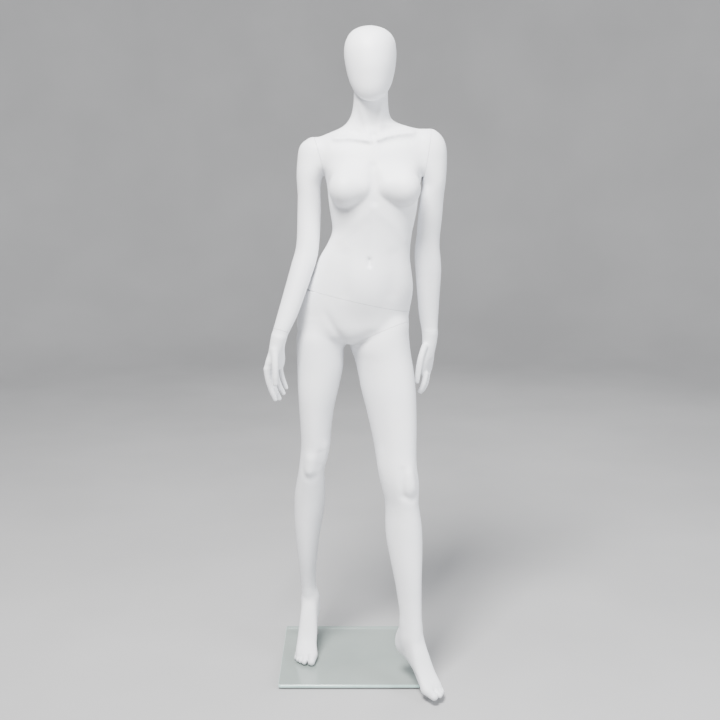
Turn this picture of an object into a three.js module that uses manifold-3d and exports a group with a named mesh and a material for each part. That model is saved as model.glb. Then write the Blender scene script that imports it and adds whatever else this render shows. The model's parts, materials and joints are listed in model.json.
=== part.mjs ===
// Full body female mannequin on a glass base. Millimetres, +Z up, the figure faces -Y.
// The figure's right side is at -X. The body comes apart at six seams, and each seam has
// a keyhole plate on one side and a headed stud on the other. A rod holds the right calf.
import * as THREE from 'three';
import { mergeVertices } from 'three/addons/utils/BufferGeometryUtils.js';
import Module from 'manifold-3d';

const wasm = await Module();
wasm.setup();

// ---------- driving dimensions ----------
const GAP = 0.3; // clearance between pieces that meet
const SEAM = 0.3; // each side of a body seam stands back this much
const FAR = 2000; // larger than the figure

const PLATE = { size: 400, x: -26.5, thick: 8, underside: 6, corner: 5 };
const PLATE_TOP = PLATE.underside + PLATE.thick;
const PAD = { radius: 8, inset: 28 };
const FLANGE = { x: -153, y: 138, radius: 27, thick: 5, bossRadius: 12, bossHeight: 42 };
const GASKET = 1;
const BOLT = { radius: 4, headRadius: 9, headThick: 2.4, washerRadius: 16, washerThick: 1.2 };
const ROD = { radius: 6, lean: 10.5, foot: 28, top: 450 };
const SCREW = 2.5; // radius of both set screws
const CALF_TUBE = { radius: 8, from: 374, to: 456, screwAt: 388 };

const FOOT = { length: 205, heelRise: 66 };

// Level outlines of each limb: height, then the left, right, front and back limits.
const TRUNK = [
  [934, -86, 40, -40, 70],
  [952, -140, 96, -62, 108],
  [980, -172, 130, -75, 130],
  [1010, -173, 134, -82, 134],
  [1040, -169, 139, -86, 126],
  [1070, -161, 144, -88, 110],
  [1100, -148, 145.5, -90, 92],
  [1140, -128, 141, -91, 76],
  [1180, -110, 136, -89, 69],
  [1210, -92, 137, -87, 68],
  [1250, -75, 142, -87, 73],
  [1290, -79, 151, -91, 83],
  [1330, -85, 157, -98, 95],
  [1370, -89, 162, -100, 104],
  [1400, -96, 168, -92, 108],
  [1440, -112, 179, -74, 108],
  [1470, -120, 185, -60, 104],
  [1495, -120, 190, -44, 96],
  [1512, -88, 186, -32, 88],
  [1526, -50, 150, -24, 84],
  [1538, -37, 100, -20, 82],
  [1552, -27, 84, -22, 80],
  [1575, -20, 77, -28, 76],
  [1600, -17, 75, -34, 70],
  [1640, -17, 75, -38, 64],
];
const TRUNK_MESH = { sides: 20, rows: 28, power: 2.3 };
const NECK_FROM = 1538; // the head is hollowed by the neck above this height
const BREASTS = [
  { x: -33, y: -62, z: 1372, lean: -0.22 },
  { x: 107, y: -62, z: 1374, lean: 0.22 },
];
const BREAST = { width: 58, depth: 60, height: 62 };

const HEAD = [
  [1597, 20, 36, -50, -32],
  [1606, 5, 50, -68, -10],
  [1616, -8, 63, -76, 14],
  [1628, -17, 74, -82, 38],
  [1642, -25, 83, -86, 56],
  [1660, -32, 89, -89, 72],
  [1685, -38, 94, -92, 87],
  [1712, -42, 96.5, -91, 96],
  [1735, -42, 96, -87, 98],
  [1755, -37.5, 92, -78, 92],
  [1772, -28, 82, -64, 78],
  [1784, -14, 66, -44, 58],
  [1790.5, 2, 50, -22, 36],
  [1793, 20, 32, -4, 16],
];

const RIGHT_LEG = [
  [1006, -160, -40, -58, 110],
  [960, -176.5, -42, -71, 120],
  [930, -177, -45, -73, 114],
  [870, -175.6, -47.5, -74, 98],
  [810, -174, -60, -74, 86],
  [750, -170.6, -73.7, -71, 76],
  [690, -167, -81, -67, 65],
  [650, -166, -84, -64, 57],
  [610, -169.5, -92, -62, 51],
  [575, -173.5, -101, -59, 50],
  [545, -179, -100.5, -51, 56],
  [510, -185, -100, -42, 68],
  [480, -188, -100, -35, 78],
  [450, -189, -102.6, -29, 84],
  [410, -188.8, -109, -22, 87.5],
  [360, -185.4, -118, -13, 87.5],
  [300, -180, -124.6, 0, 85],
  [240, -174.6, -130, 17, 84.5],
  [205, -172, -129.5, 26, 86],
  [170, -170.5, -122.5, 30, 92],
  [140, -169, -121, 38, 102],
  [110, -164, -126, 44, 96],
];
const LEFT_LEG = [
  [1006, 4, 132, -62, 106],
  [960, -25, 135.5, -73, 110],
  [930, -30, 138.3, -77, 103],
  [900, -18, 142.7, -82, 95],
  [870, -9.6, 148, -88, 84],
  [810, 3, 154.5, -102, 63],
  [750, 19, 156.3, -114, 40],
  [690, 33, 156.3, -126, 16],
  [650, 41, 155.5, -134, 0],
  [610, 47, 156.5, -145, -14],
  [575, 53, 161.5, -153, -26],
  [545, 61, 162.5, -154, -37],
  [510, 69, 161.5, -153, -41],
  [480, 70.4, 166, -156, -43],
  [450, 70.4, 170, -161, -49],
  [410, 72.5, 172.3, -167, -59],
  [360, 82, 171.8, -175, -77],
  [300, 95, 170, -184, -100],
  [240, 105, 169.8, -191, -120],
  [205, 109.5, 170, -197, -132],
  [170, 111.5, 171, -206, -137],
  [145, 111, 172, -210, -142],
  [115, 116, 166, -200, -150],
];
const RIGHT_ARM = [
  [1506, -134, -78, 0, 44],
  [1497, -150, -62, -14, 56],
  [1486, -160, -60, -24, 64],
  [1470, -166, -60, -29, 69],
  [1440, -170, -70, -33, 71],
  [1410, -172.5, -92, -34, 67],
  [1380, -172, -106.4, -33, 58],
  [1350, -169.7, -107.8, -34, 50],
  [1320, -169.8, -107, -37, 42],
  [1290, -170.5, -107.3, -41, 35],
  [1260, -171, -108.4, -46, 27],
  [1230, -172, -110.4, -53, 19],
  [1200, -175.5, -113, -61, 9],
  [1170, -184.4, -119, -71, -2],
  [1140, -192.8, -129, -80, -12],
  [1110, -201, -139, -88, -24],
  [1080, -209.5, -150, -95, -36],
  [1050, -218, -161, -102, -48],
  [1020, -226.5, -173.5, -108, -61],
  [990, -235, -189, -114, -73],
  [965, -240, -202, -117, -82],
  [940, -243, -211, -117, -88],
  [922, -241, -219, -112, -93],
];
const LEFT_ARM = [
  [1524, 146, 198, 4, 44],
  [1516, 136, 211, -10, 54],
  [1506, 130, 221, -19, 60],
  [1494, 127, 228.5, -25, 66],
  [1478, 128, 233.5, -29, 69],
  [1440, 132, 236, -32, 71],
  [1410, 152, 235.2, -30, 68],
  [1380, 169.6, 233, -26, 61],
  [1350, 165.4, 229.5, -21, 56],
  [1320, 162, 227, -15, 54],
  [1290, 159.5, 225.5, -8, 56],
  [1260, 158, 223, 0, 62],
  [1230, 156, 220.6, 7, 70],
  [1200, 152.5, 220.7, 10, 77],
  [1170, 151.8, 224.4, 12, 83],
  [1140, 154.5, 226.5, 14, 86],
  [1110, 156.7, 225.7, 18, 87],
  [1080, 159.3, 223.9, 22, 87],
  [1050, 162.2, 222.4, 27, 86],
  [1020, 164.9, 221, 32, 84],
  [990, 169.5, 219.6, 37, 81],
  [964, 175, 218.6, 40, 78],
  [938, 178.5, 217, 43, 77],
  [915, 181, 213, 46, 74],
  [890, 185, 207, 50, 70],
];

// Outlines along each foot from the heel to the toes: distance from the heel, then the
// inner or outer side limits, and the height of the sole and of the upper.
const FOOT_OUTLINE = [
  [0, -12, 12, 84, 112],
  [6, -18, 18, 74, 128],
  [18, -23, 23, 67, 150],
  [38, -24.5, 24.5, 64, 172],
  [62, -25, 25, 56, 172],
  [86, -26, 25, 40, 150],
  [110, -28, 27, 18, 108],
  [132, -31, 30, 3, 66],
  [150, -32, 32, 0, 44],
  [168, -31, 31, 0, 31],
  [184, -28, 29, 0, 25],
  [197, -21, 25, 1, 21],
  [205, -10, 17, 5, 15],
];
const FEET = {
  right: { x: -143.5, y: 114, z: PLATE_TOP + GAP, turn: -4, side: 1 },
  left: { x: 110, y: -122, z: PLATE_TOP + GAP, turn: 32.5, side: -1 },
};

// Hands: palm outlines from the wrist to the knuckles, and chains of finger joints.
const HANDS = {
  right: {
    wrist: [-218, -98, 972],
    knuckles: [-234, -84, 884],
    across: [0.6, 0.78, 0],
    palm: [[-6, 17.5, 17], [20, 18.5, 16.5], [45, 26, 15.5], [66, 35, 14.5], [93, 35, 12]],
    fingers: [
      { radius: 8.6, joints: [[-251, -108, 886], [-247.5, -107, 850], [-231, -100, 802]] },
      { radius: 8.6, joints: [[-242, -91, 882], [-239, -90, 845], [-221, -86, 801]] },
      { radius: 8, joints: [[-231, -73, 884], [-227, -71, 848], [-210.5, -66, 811]] },
      { radius: 7, joints: [[-219, -55, 890], [-216, -53, 860], [-203.5, -50, 823]] },
      { radius: 9, joints: [[-230, -112, 938], [-228.5, -123, 898], [-228.7, -121, 849]] },
    ],
  },
  left: {
    wrist: [199, 60, 958],
    knuckles: [187, 68, 850],
    across: [0.45, 0.89, 0],
    palm: [[-6, 20, 17], [20, 19, 16], [48, 25, 15], [75, 34, 14.5], [118, 34, 11.5]],
    fingers: [
      { radius: 8.2, joints: [[186, 46, 842], [181, 42, 814], [170, 46, 792]] },
      { radius: 8.4, joints: [[191, 62, 836], [186, 58, 808], [173, 62, 787]] },
      { radius: 8, joints: [[193, 78, 838], [188, 75, 810], [177, 78, 789]] },
      { radius: 7, joints: [[193, 93, 845], [189, 92, 820], [181, 95, 800]] },
      { radius: 8.8, joints: [[182, 40, 922], [168, 26, 880], [161, 28, 824]] },
    ],
  },
};

// Seams: a point on the seam plane and the direction from the fixed side to the moving side.
// plate, pin and thick are the radii and thickness of the fitting's discs and stud.
const SEAMS = {
  waist: { at: [0, 12, 1059], toward: [0.23, 0.046, 1], plate: 45, pin: 8, thick: 5 },
  left_thigh: { at: [62, 14, 962], toward: [0.435, -0.2635, -1], plate: 36, pin: 7, thick: 5 },
  right_shoulder: { at: [-112, 18, 1450], toward: [-1, -0.1, -0.266], plate: 24, pin: 5, thick: 4 },
  left_shoulder: { at: [179.4, 18, 1450], toward: [1, 0.05, -0.163], plate: 24, pin: 5, thick: 4 },
  right_wrist: { at: [-212, -93, 988], toward: [-0.3, -0.28, -0.914], plate: 13, pin: 3, thick: 2.5 },
  left_wrist: { at: [195.5, 59, 964], toward: [0.03, 0.06, -1], plate: 13, pin: 3, thick: 2.5 },
};
const ARMPIT = 1399; // the shoulder seams end at this height
const CROTCH_X = -36; // the left thigh seam ends at this plane

// Moves the finished figure so that its box's bottom centre is the origin.
const FRAME_SHIFT = new THREE.Vector3(11, 52, 0);

// ---------- materials ----------
const looks = {
  shell: { color: 0xf1f3f6, roughness: 0.5, metalness: 0 },
  steel: { color: 0xb9bcc0, roughness: 0.35, metalness: 1 },
  chrome: { color: 0xd8dadd, roughness: 0.12, metalness: 1 },
  rubber: { color: 0x1c1c1d, roughness: 0.85, metalness: 0 },
  glass: { color: 0x9fb0ac, roughness: 0.05, metalness: 0 },
};

// ---------- solids ----------
function toSolid(geometry) {
  const bare = geometry.index ? geometry.clone() : mergeVertices(geometry);
  bare.deleteAttribute('normal');
  bare.deleteAttribute('uv');
  const merged = mergeVertices(bare, 1e-3);
  return new wasm.Manifold(new wasm.Mesh({
    numProp: 3,
    vertProperties: new Float32Array(merged.attributes.position.array),
    triVerts: new Uint32Array(merged.index.array),
  }));
}

function toGeometry(solid) {
  const mesh = solid.getMesh();
  const geometry = new THREE.BufferGeometry();
  geometry.setAttribute('position', new THREE.BufferAttribute(mesh.vertProperties, 3));
  geometry.setIndex(new THREE.BufferAttribute(mesh.triVerts, 1));
  geometry.computeVertexNormals();
  return geometry;
}

const union = (...solids) => solids.reduce((sum, solid) => sum.add(solid));
const cut = (solid, ...tools) => tools.reduce((rest, tool) => rest.subtract(tool), solid);
const placed = (geometry, matrix) => toSolid(geometry.clone().applyMatrix4(matrix));
const vector = (list) => new THREE.Vector3(...list);

// Frame with +Z along a direction and its origin at a point.
function frameAlong(at, direction) {
  const turn = new THREE.Quaternion();
  turn.setFromUnitVectors(new THREE.Vector3(0, 0, 1), direction.clone().normalize());
  return new THREE.Matrix4().compose(at, turn, new THREE.Vector3(1, 1, 1));
}

// Everything beyond a plane, as a large box standing off the plane by a distance.
function halfSpace(at, direction, standOff = 0) {
  const box = new THREE.BoxGeometry(2 * FAR, 2 * FAR, 2 * FAR).translate(0, 0, FAR + standOff);
  return placed(box, frameAlong(at, direction));
}

// Smooth value at a height, through a list of level outlines.
function eased(levels, height, column) {
  const last = levels.length - 1;
  let k = 0;
  while (k < last - 1 && (levels[k + 1][0] - height) * (levels[1][0] - levels[0][0]) < 0) k += 1;
  const slope = (i) => {
    const a = levels[Math.max(i - 1, 0)];
    const b = levels[Math.min(i + 1, last)];
    return (b[column] - a[column]) / (b[0] - a[0]);
  };
  const [p, q] = [levels[k], levels[k + 1]];
  const span = q[0] - p[0];
  const t = (height - p[0]) / span;
  const h = [2 * t ** 3 - 3 * t ** 2 + 1, t ** 3 - 2 * t ** 2 + t, 3 * t ** 2 - 2 * t ** 3, t ** 3 - t ** 2];
  return h[0] * p[column] + h[1] * span * slope(k) + h[2] * q[column] + h[3] * span * slope(k + 1);
}

// A closed loft: a unit cylinder whose rings are moved onto the level outlines.
// lean skews each oval, and power above 2 makes it squarer.
function loft(levels, { sides, rows, lean = 0, power = 2 }) {
  const geometry = new THREE.CylinderGeometry(1, 1, 1, sides, rows).rotateX(Math.PI / 2);
  const points = geometry.attributes.position;
  const [first, last] = [levels[0][0], levels[levels.length - 1][0]];
  const [low, high] = [Math.min(first, last), Math.max(first, last)];
  const squash = (value) => Math.sign(value) * Math.abs(value) ** (2 / power);
  for (let i = 0; i < points.count; i += 1) {
    const height = low + (points.getZ(i) + 0.5) * (high - low);
    const reach = Math.hypot(points.getX(i), points.getY(i));
    const angle = Math.atan2(points.getY(i), points.getX(i));
    const [left, right, front, back] = [1, 2, 3, 4].map((column) => eased(levels, height, column));
    const x = (left + right) / 2 + reach * squash(Math.cos(angle)) * (right - left) / 2;
    const y = (front + back) / 2 + reach * squash(Math.sin(angle + lean)) * (back - front) / 2;
    points.setXYZ(i, x, y, height);
  }
  return geometry;
}

// A round bar with domed ends between two points.
function bar(from, to, radius, sides = 6) {
  const direction = to.clone().sub(from);
  const geometry = new THREE.CapsuleGeometry(radius, direction.length(), 1, sides);
  geometry.rotateX(Math.PI / 2).translate(0, 0, direction.length() / 2);
  return placed(geometry, frameAlong(from, direction));
}

function disc(radius, low, high, sides = 24) {
  return new THREE.CylinderGeometry(radius, radius, high - low, sides)
    .rotateX(Math.PI / 2).translate(0, 0, (low + high) / 2);
}

// A round cutter whose flats clear the radius.
const bore = (radius, low, high, sides = 16) => disc(radius / Math.cos(Math.PI / sides), low, high, sides);

// ---------- the figure's masses ----------
function trunkMass() {
  const breasts = BREASTS.map(({ x, y, z, lean }) => placed(
    new THREE.SphereGeometry(1, 12, 8).rotateX(Math.PI / 2).scale(BREAST.width, BREAST.depth, BREAST.height),
    new THREE.Matrix4().makeRotationZ(lean).setPosition(x, y, z),
  ));
  return union(toSolid(loft(TRUNK, TRUNK_MESH)), ...breasts);
}

function footMass({ x, y, z, turn, side }) {
  const angle = THREE.MathUtils.degToRad(turn);
  const forward = new THREE.Vector3(Math.sin(angle), -Math.cos(angle), 0);
  const up = new THREE.Vector3(0, 0, 1);
  const across = new THREE.Vector3().crossVectors(up, forward);
  const levels = FOOT_OUTLINE.map(([along, outer, inner, sole, upper]) => (
    side > 0 ? [along, outer, inner, sole, upper] : [along, -inner, -outer, sole, upper]
  ));
  const geometry = loft(levels, { sides: 12, rows: 13, power: 2.4 });
  const toeGap = new THREE.BoxGeometry(2.4, 60, 30).translate(side * 5, 15, FOOT.length + 3);
  const frame = new THREE.Matrix4().makeBasis(across, up, forward).setPosition(x, y, z);
  return cut(placed(geometry, frame), placed(toeGap, frame));
}

function handMass({ wrist, knuckles, across, palm, fingers }) {
  const start = vector(wrist);
  const along = vector(knuckles).sub(start).normalize();
  const side = vector(across);
  side.addScaledVector(along, -side.dot(along)).normalize();
  const through = new THREE.Vector3().crossVectors(along, side);
  const frame = new THREE.Matrix4().makeBasis(side, through, along).setPosition(start);
  const levels = palm.map(([at, half, thick]) => [at, -half, half, -thick, thick]);
  const bars = fingers.flatMap(({ radius, joints }) => joints.slice(1).map(
    (joint, i) => bar(vector(joints[i]), vector(joint), radius * (i ? 0.88 : 1)),
  ));
  return union(placed(loft(levels, { sides: 10, rows: 5, power: 2.4 }), frame), ...bars);
}

// ---------- seams ----------
const seamFrames = Object.fromEntries(Object.entries(SEAMS).map(
  ([name, { at, toward }]) => [name, frameAlong(vector(at), vector(toward))],
));
const beyond = (name, standOff) => halfSpace(vector(SEAMS[name].at), vector(SEAMS[name].toward), standOff);
const above = (height) => halfSpace(new THREE.Vector3(0, 0, height), new THREE.Vector3(0, 0, 1));
const leftOf = (x) => halfSpace(new THREE.Vector3(x, 0, 0), new THREE.Vector3(1, 0, 0));

// A mass on the moving side of a seam, and on its fixed side.
const moving = (mass, name) => mass.intersect(beyond(name, SEAM));
const fixed = (mass, name) => cut(mass, beyond(name, -SEAM));

const stud = ({ pin, thick }) => ({ head: pin * 1.6, from: thick + 1.4, to: thick + 1.4 + pin * 0.7 });

// The recesses that take a seam's two plates and the stud's head.
function recesses(name) {
  const { plate, thick } = SEAMS[name];
  const { to } = stud(SEAMS[name]);
  const frame = seamFrames[name];
  return {
    fixedSide: union(
      placed(bore(plate + GAP, -0.5 - thick - GAP, 1), frame),
      placed(bore(plate * 0.78, -to - 1.5, 0), frame),
    ),
    movingSide: placed(bore(plate + GAP, -1, 0.5 + thick + GAP), frame),
  };
}

// The keyhole plate: the stud's head enters the round hole and its pin slides to the middle.
function socketPlate({ plate, pin, thick, ...rest }) {
  const { head } = stud({ pin, thick, ...rest });
  const [slot, hole] = [pin + 0.4, head + 0.5];
  const offset = plate * 0.78 - hole - 0.4;
  const outline = new THREE.Shape().absarc(0, 0, plate, 0, 2 * Math.PI, false);
  const meet = Math.asin(slot / hole);
  const keyhole = new THREE.Path().absarc(0, 0, slot, Math.PI, 2 * Math.PI, false);
  keyhole.absarc(0, offset, hole, 1.5 * Math.PI + meet, 3.5 * Math.PI - meet, false);
  keyhole.closePath();
  outline.holes.push(keyhole);
  return new THREE.ExtrudeGeometry(outline, { depth: thick, bevelEnabled: false, curveSegments: 8 })
    .translate(0, 0, -0.5 - thick);
}

function studPlate({ plate, pin, thick }) {
  const { head, from, to } = stud({ pin, thick });
  const profile = [
    [0, -to], [head - 0.8, -to], [head, -to + 0.8], [head, -from], [pin, -from], [pin, 0.5],
    [plate, 0.5], [plate, 0.5 + thick], [0, 0.5 + thick],
  ].map(([radius, height]) => new THREE.Vector2(radius, height));
  return new THREE.LatheGeometry(profile, 14).rotateX(Math.PI / 2);
}

// ---------- the calf rod and its hardware ----------
const lean = THREE.MathUtils.degToRad(ROD.lean);
const rodWay = new THREE.Vector3(0, -Math.sin(lean), Math.cos(lean));
const rodFoot = new THREE.Vector3(FLANGE.x, FLANGE.y, PLATE_TOP);
const rodFrame = frameAlong(rodFoot, rodWay);
// Distance along the rod's line at which it reaches a height.
const alongRod = (height) => (height - PLATE_TOP) / Math.cos(lean);
const rodPoint = (height) => rodFoot.clone().addScaledVector(rodWay, alongRod(height));
const backward = new THREE.Vector3(0, Math.cos(lean), Math.sin(lean)); // square to the rod
const bossScrewFrame = frameAlong(rodPoint(46), backward);
const calfScrewFrame = frameAlong(rodPoint(CALF_TUBE.screwAt), backward);

function flangeSolid() {
  const upright = new THREE.Matrix4().setPosition(FLANGE.x, FLANGE.y, PLATE_TOP + GASKET);
  const boss = placed(disc(FLANGE.bossRadius, 0, FLANGE.bossHeight, 20), rodFrame);
  const level = halfSpace(new THREE.Vector3(0, 0, PLATE_TOP + GASKET), new THREE.Vector3(0, 0, 1));
  return cut(
    union(placed(disc(FLANGE.radius, 0, FLANGE.thick, 24), upright), boss.intersect(level)),
    placed(bore(ROD.radius + GAP, alongRod(ROD.foot) - GAP, FAR), rodFrame),
    placed(bore(BOLT.radius + GAP, -5, 10), upright),
    placed(bore(SCREW + GAP, 0, 40, 10), bossScrewFrame),
  );
}

const rodTop = alongRod(ROD.top);
const rodSolid = placed(disc(ROD.radius, alongRod(ROD.foot), rodTop, 16), rodFrame);
const calfTube = cut(
  placed(disc(CALF_TUBE.radius, alongRod(CALF_TUBE.from), alongRod(CALF_TUBE.to), 16), rodFrame),
  placed(bore(ROD.radius + GAP, 0, FAR), rodFrame),
  placed(bore(SCREW + GAP, 0, 40, 10), calfScrewFrame),
);
const calfRecess = union(
  placed(bore(ROD.radius + 1, 0, alongRod(CALF_TUBE.from) + 1), rodFrame),
  placed(
    bore(CALF_TUBE.radius + GAP, alongRod(CALF_TUBE.from) - GAP, alongRod(CALF_TUBE.to) + GAP), rodFrame,
  ),
  placed(bore(SCREW + GAP, 0, 40, 10), calfScrewFrame),
);

// A headless set screw with its tip at a distance from the rod's line.
const setScrew = (from, to) => disc(SCREW, from, to, 10);

// ---------- assembly ----------
const mannequin = new THREE.Group();
const rigid = new THREE.Matrix4();

function addPiece(name, look, geometry, frame = rigid) {
  const mesh = new THREE.Mesh(geometry, new THREE.MeshStandardMaterial(looks[look]));
  mesh.name = name;
  const place = new THREE.Group();
  frame.decompose(place.position, place.quaternion, place.scale);
  place.add(mesh);
  mannequin.add(place);
}

function addBody() {
  const trunk = trunkMass();
  const rightArm = toSolid(loft(RIGHT_ARM, { sides: 12, rows: 17 }));
  const leftArm = toSolid(loft(LEFT_ARM, { sides: 12, rows: 17 }));
  const rightLeg = toSolid(loft(RIGHT_LEG, { sides: 14, rows: 18, lean: 0.1 }));
  const leftLeg = toSolid(loft(LEFT_LEG, { sides: 14, rows: 18, lean: -0.25 }));
  const recess = Object.fromEntries(Object.keys(SEAMS).map((name) => [name, recesses(name)]));

  const overPit = above(ARMPIT);
  const shoulders = { right: rightArm.intersect(overPit), left: leftArm.intersect(overPit) };
  const offRight = beyond('right_shoulder', -SEAM).intersect(overPit);
  const offLeft = beyond('left_shoulder', -SEAM).intersect(overPit);
  const lid = union(trunk, shoulders.right, shoulders.left);
  addPiece('torso_shell', 'shell', toGeometry(cut(
    moving(lid, 'waist'), offRight, offLeft, recess.waist.movingSide,
    recess.right_shoulder.fixedSide, recess.left_shoulder.fixedSide,
  )));

  const arms = [['right', rightArm], ['left', leftArm]];
  arms.forEach(([side, arm]) => {
    const cap = moving(trunk.intersect(overPit), `${side}_shoulder`);
    const upper = union(moving(arm, `${side}_shoulder`), cap);
    addPiece(`${side}_arm_shell`, 'shell', toGeometry(cut(
      fixed(upper, `${side}_wrist`), recess[`${side}_shoulder`].movingSide,
      recess[`${side}_wrist`].fixedSide,
    )));
    const hand = union(handMass(HANDS[side]), arm);
    addPiece(`${side}_hand_shell`, 'shell', toGeometry(cut(
      moving(hand, `${side}_wrist`), recess[`${side}_wrist`].movingSide,
    )));
  });

  const leftSide = leftOf(CROTCH_X);
  const hips = fixed(union(trunk, rightLeg, footMass(FEET.right), cut(leftLeg, beyond('left_thigh', -SEAM))), 'waist');
  const thighCut = beyond('left_thigh', -SEAM).intersect(leftSide);
  addPiece('lower_body_shell', 'shell', toGeometry(cut(
    hips, thighCut, recess.waist.fixedSide, recess.left_thigh.fixedSide, calfRecess,
  )));
  const leg = union(leftLeg, footMass(FEET.left), trunk.intersect(leftOf(CROTCH_X + 2 * SEAM)));
  addPiece('left_leg_shell', 'shell', toGeometry(cut(moving(leg, 'left_thigh'), recess.left_thigh.movingSide)));

  const neck = loft(TRUNK, TRUNK_MESH).scale(1.006, 1.012, 1);
  const neckRoom = toSolid(neck.translate(-0.2, -0.2, GAP)).intersect(above(NECK_FROM));
  addPiece('head_shell', 'shell', toGeometry(cut(
    toSolid(loft(HEAD, { sides: 18, rows: 14 })), neckRoom,
  )));
}

function addFittings() {
  Object.entries(SEAMS).forEach(([name, seam]) => {
    addPiece(`${name}_socket_plate`, 'steel', socketPlate(seam), seamFrames[name]);
    addPiece(`${name}_stud_plate`, 'steel', studPlate(seam), seamFrames[name]);
  });
  addPiece('calf_socket_tube', 'steel', toGeometry(calfTube));
  addPiece('calf_set_screw', 'steel', setScrew(ROD.radius + GAP, 13), calfScrewFrame);
}

function addBase() {
  const half = PLATE.size / 2;
  const inner = half - PLATE.corner;
  const outline = new THREE.Shape();
  [[1, 1, 0], [-1, 1, 0.5], [-1, -1, 1], [1, -1, 1.5]].forEach(([x, y, turn]) => {
    outline.absarc(x * inner, y * inner, PLATE.corner, turn * Math.PI, (turn + 0.5) * Math.PI, false);
  });
  outline.closePath();
  const boltX = FLANGE.x - PLATE.x;
  outline.holes.push(new THREE.Path().absarc(boltX, FLANGE.y, BOLT.radius + 1, 0, 2 * Math.PI, false));
  const glass = new THREE.ExtrudeGeometry(outline, { depth: PLATE.thick, bevelEnabled: false, curveSegments: 6 });
  const plateFrame = new THREE.Matrix4().setPosition(PLATE.x, 0, PLATE.underside);
  addPiece('glass_plate', 'glass', glass, plateFrame);

  [[-1, -1], [1, -1], [1, 1], [-1, 1]].forEach(([x, y], i) => {
    const away = half - PAD.inset;
    const at = new THREE.Matrix4().setPosition(PLATE.x + x * away, y * away, 0);
    addPiece(`plate_pad_${i + 1}`, 'rubber', disc(PAD.radius, 0, PLATE.underside, 12), at);
  });

  const ring = (outer, inside, low, high) => new THREE.LatheGeometry([
    [inside, low], [outer, low], [outer, high], [inside, high], [inside, low],
  ].map(([radius, height]) => new THREE.Vector2(radius, height)), 16).rotateX(Math.PI / 2);
  const boltFrame = new THREE.Matrix4().setPosition(FLANGE.x, FLANGE.y, 0);
  const [under, washer] = [PLATE.underside, BOLT.washerThick];
  const hole = BOLT.radius + GAP;
  addPiece('gasket_top', 'rubber', ring(FLANGE.radius - 1, hole, PLATE_TOP, PLATE_TOP + GASKET), boltFrame);
  addPiece('gasket_bottom', 'rubber', ring(BOLT.washerRadius, hole, under - GASKET, under), boltFrame);
  addPiece('clamp_washer', 'steel', ring(BOLT.washerRadius, hole, under - GASKET - washer, under - GASKET), boltFrame);
  const headTop = under - GASKET - washer;
  const bolt = [
    [0, headTop - BOLT.headThick], [BOLT.headRadius, headTop - BOLT.headThick], [BOLT.headRadius, headTop],
    [BOLT.radius, headTop], [BOLT.radius, ROD.foot - 4], [0, ROD.foot - 4],
  ].map(([radius, height]) => new THREE.Vector2(radius, height));
  addPiece('clamp_bolt', 'steel', new THREE.LatheGeometry(bolt, 16).rotateX(Math.PI / 2), boltFrame);

  addPiece('base_flange', 'chrome', toGeometry(flangeSolid()));
  addPiece('support_rod', 'chrome', toGeometry(rodSolid));
  addPiece('rod_set_screw', 'steel', setScrew(ROD.radius + GAP, FLANGE.bossRadius + 2), bossScrewFrame);
}

addBase();
addBody();
addFittings();
mannequin.position.copy(FRAME_SHIFT);

export default mannequin;
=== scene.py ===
"""Full body egg-head mannequin on a glass base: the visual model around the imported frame.

The body's surfaces are smooth implicit shapes, written in millimetres in the figure's own
frame, meshed with OpenVDB, settled onto the exact surface, cut at the body's seams and
moved into the row frame in metres.
"""

import json
import math

import bmesh
import bpy
import numpy as np
import openvdb
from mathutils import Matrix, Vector


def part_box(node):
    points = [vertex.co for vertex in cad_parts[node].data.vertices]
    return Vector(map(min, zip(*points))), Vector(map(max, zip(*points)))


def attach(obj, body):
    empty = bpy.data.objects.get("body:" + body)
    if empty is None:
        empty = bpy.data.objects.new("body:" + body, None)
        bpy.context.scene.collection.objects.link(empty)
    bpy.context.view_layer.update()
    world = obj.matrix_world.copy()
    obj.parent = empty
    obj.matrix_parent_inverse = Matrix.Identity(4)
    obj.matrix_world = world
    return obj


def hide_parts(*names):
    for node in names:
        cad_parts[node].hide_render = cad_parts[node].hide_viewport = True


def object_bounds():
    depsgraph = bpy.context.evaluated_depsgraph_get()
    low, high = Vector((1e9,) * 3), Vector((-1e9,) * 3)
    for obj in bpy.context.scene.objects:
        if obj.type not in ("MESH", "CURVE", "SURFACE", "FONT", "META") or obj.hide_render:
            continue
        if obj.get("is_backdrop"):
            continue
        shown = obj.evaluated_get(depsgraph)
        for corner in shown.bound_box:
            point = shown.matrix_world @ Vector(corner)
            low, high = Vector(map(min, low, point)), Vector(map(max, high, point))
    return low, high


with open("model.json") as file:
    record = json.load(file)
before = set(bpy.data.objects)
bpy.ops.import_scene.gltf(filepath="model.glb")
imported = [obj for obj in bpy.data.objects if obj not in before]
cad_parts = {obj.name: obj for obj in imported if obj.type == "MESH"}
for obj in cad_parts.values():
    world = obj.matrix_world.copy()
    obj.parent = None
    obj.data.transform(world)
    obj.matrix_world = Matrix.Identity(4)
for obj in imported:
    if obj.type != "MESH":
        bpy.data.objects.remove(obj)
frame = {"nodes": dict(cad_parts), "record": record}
CAD_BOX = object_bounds()

MM = 0.001
GLASS_LOW, GLASS_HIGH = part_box("glass_plate")
GLASS_CENTRE = -26.5  # the glass's centre in the figure's own frame, along X
ORIGIN = np.array([
    (GLASS_LOW.x + GLASS_HIGH.x) / 2 / MM - GLASS_CENTRE,
    (GLASS_LOW.y + GLASS_HIGH.y) / 2 / MM,
    0.0,
])
GLASS_TOP = GLASS_HIGH.z / MM


def row(point):
    """A point of the figure's frame, in millimetres, as a row-frame vector in metres."""
    return Vector((np.asarray(point, float) + ORIGIN) * MM)


# ---------------------------------------------------------------------------
# Level outlines: height, then the left, right, front and back limits.

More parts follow.
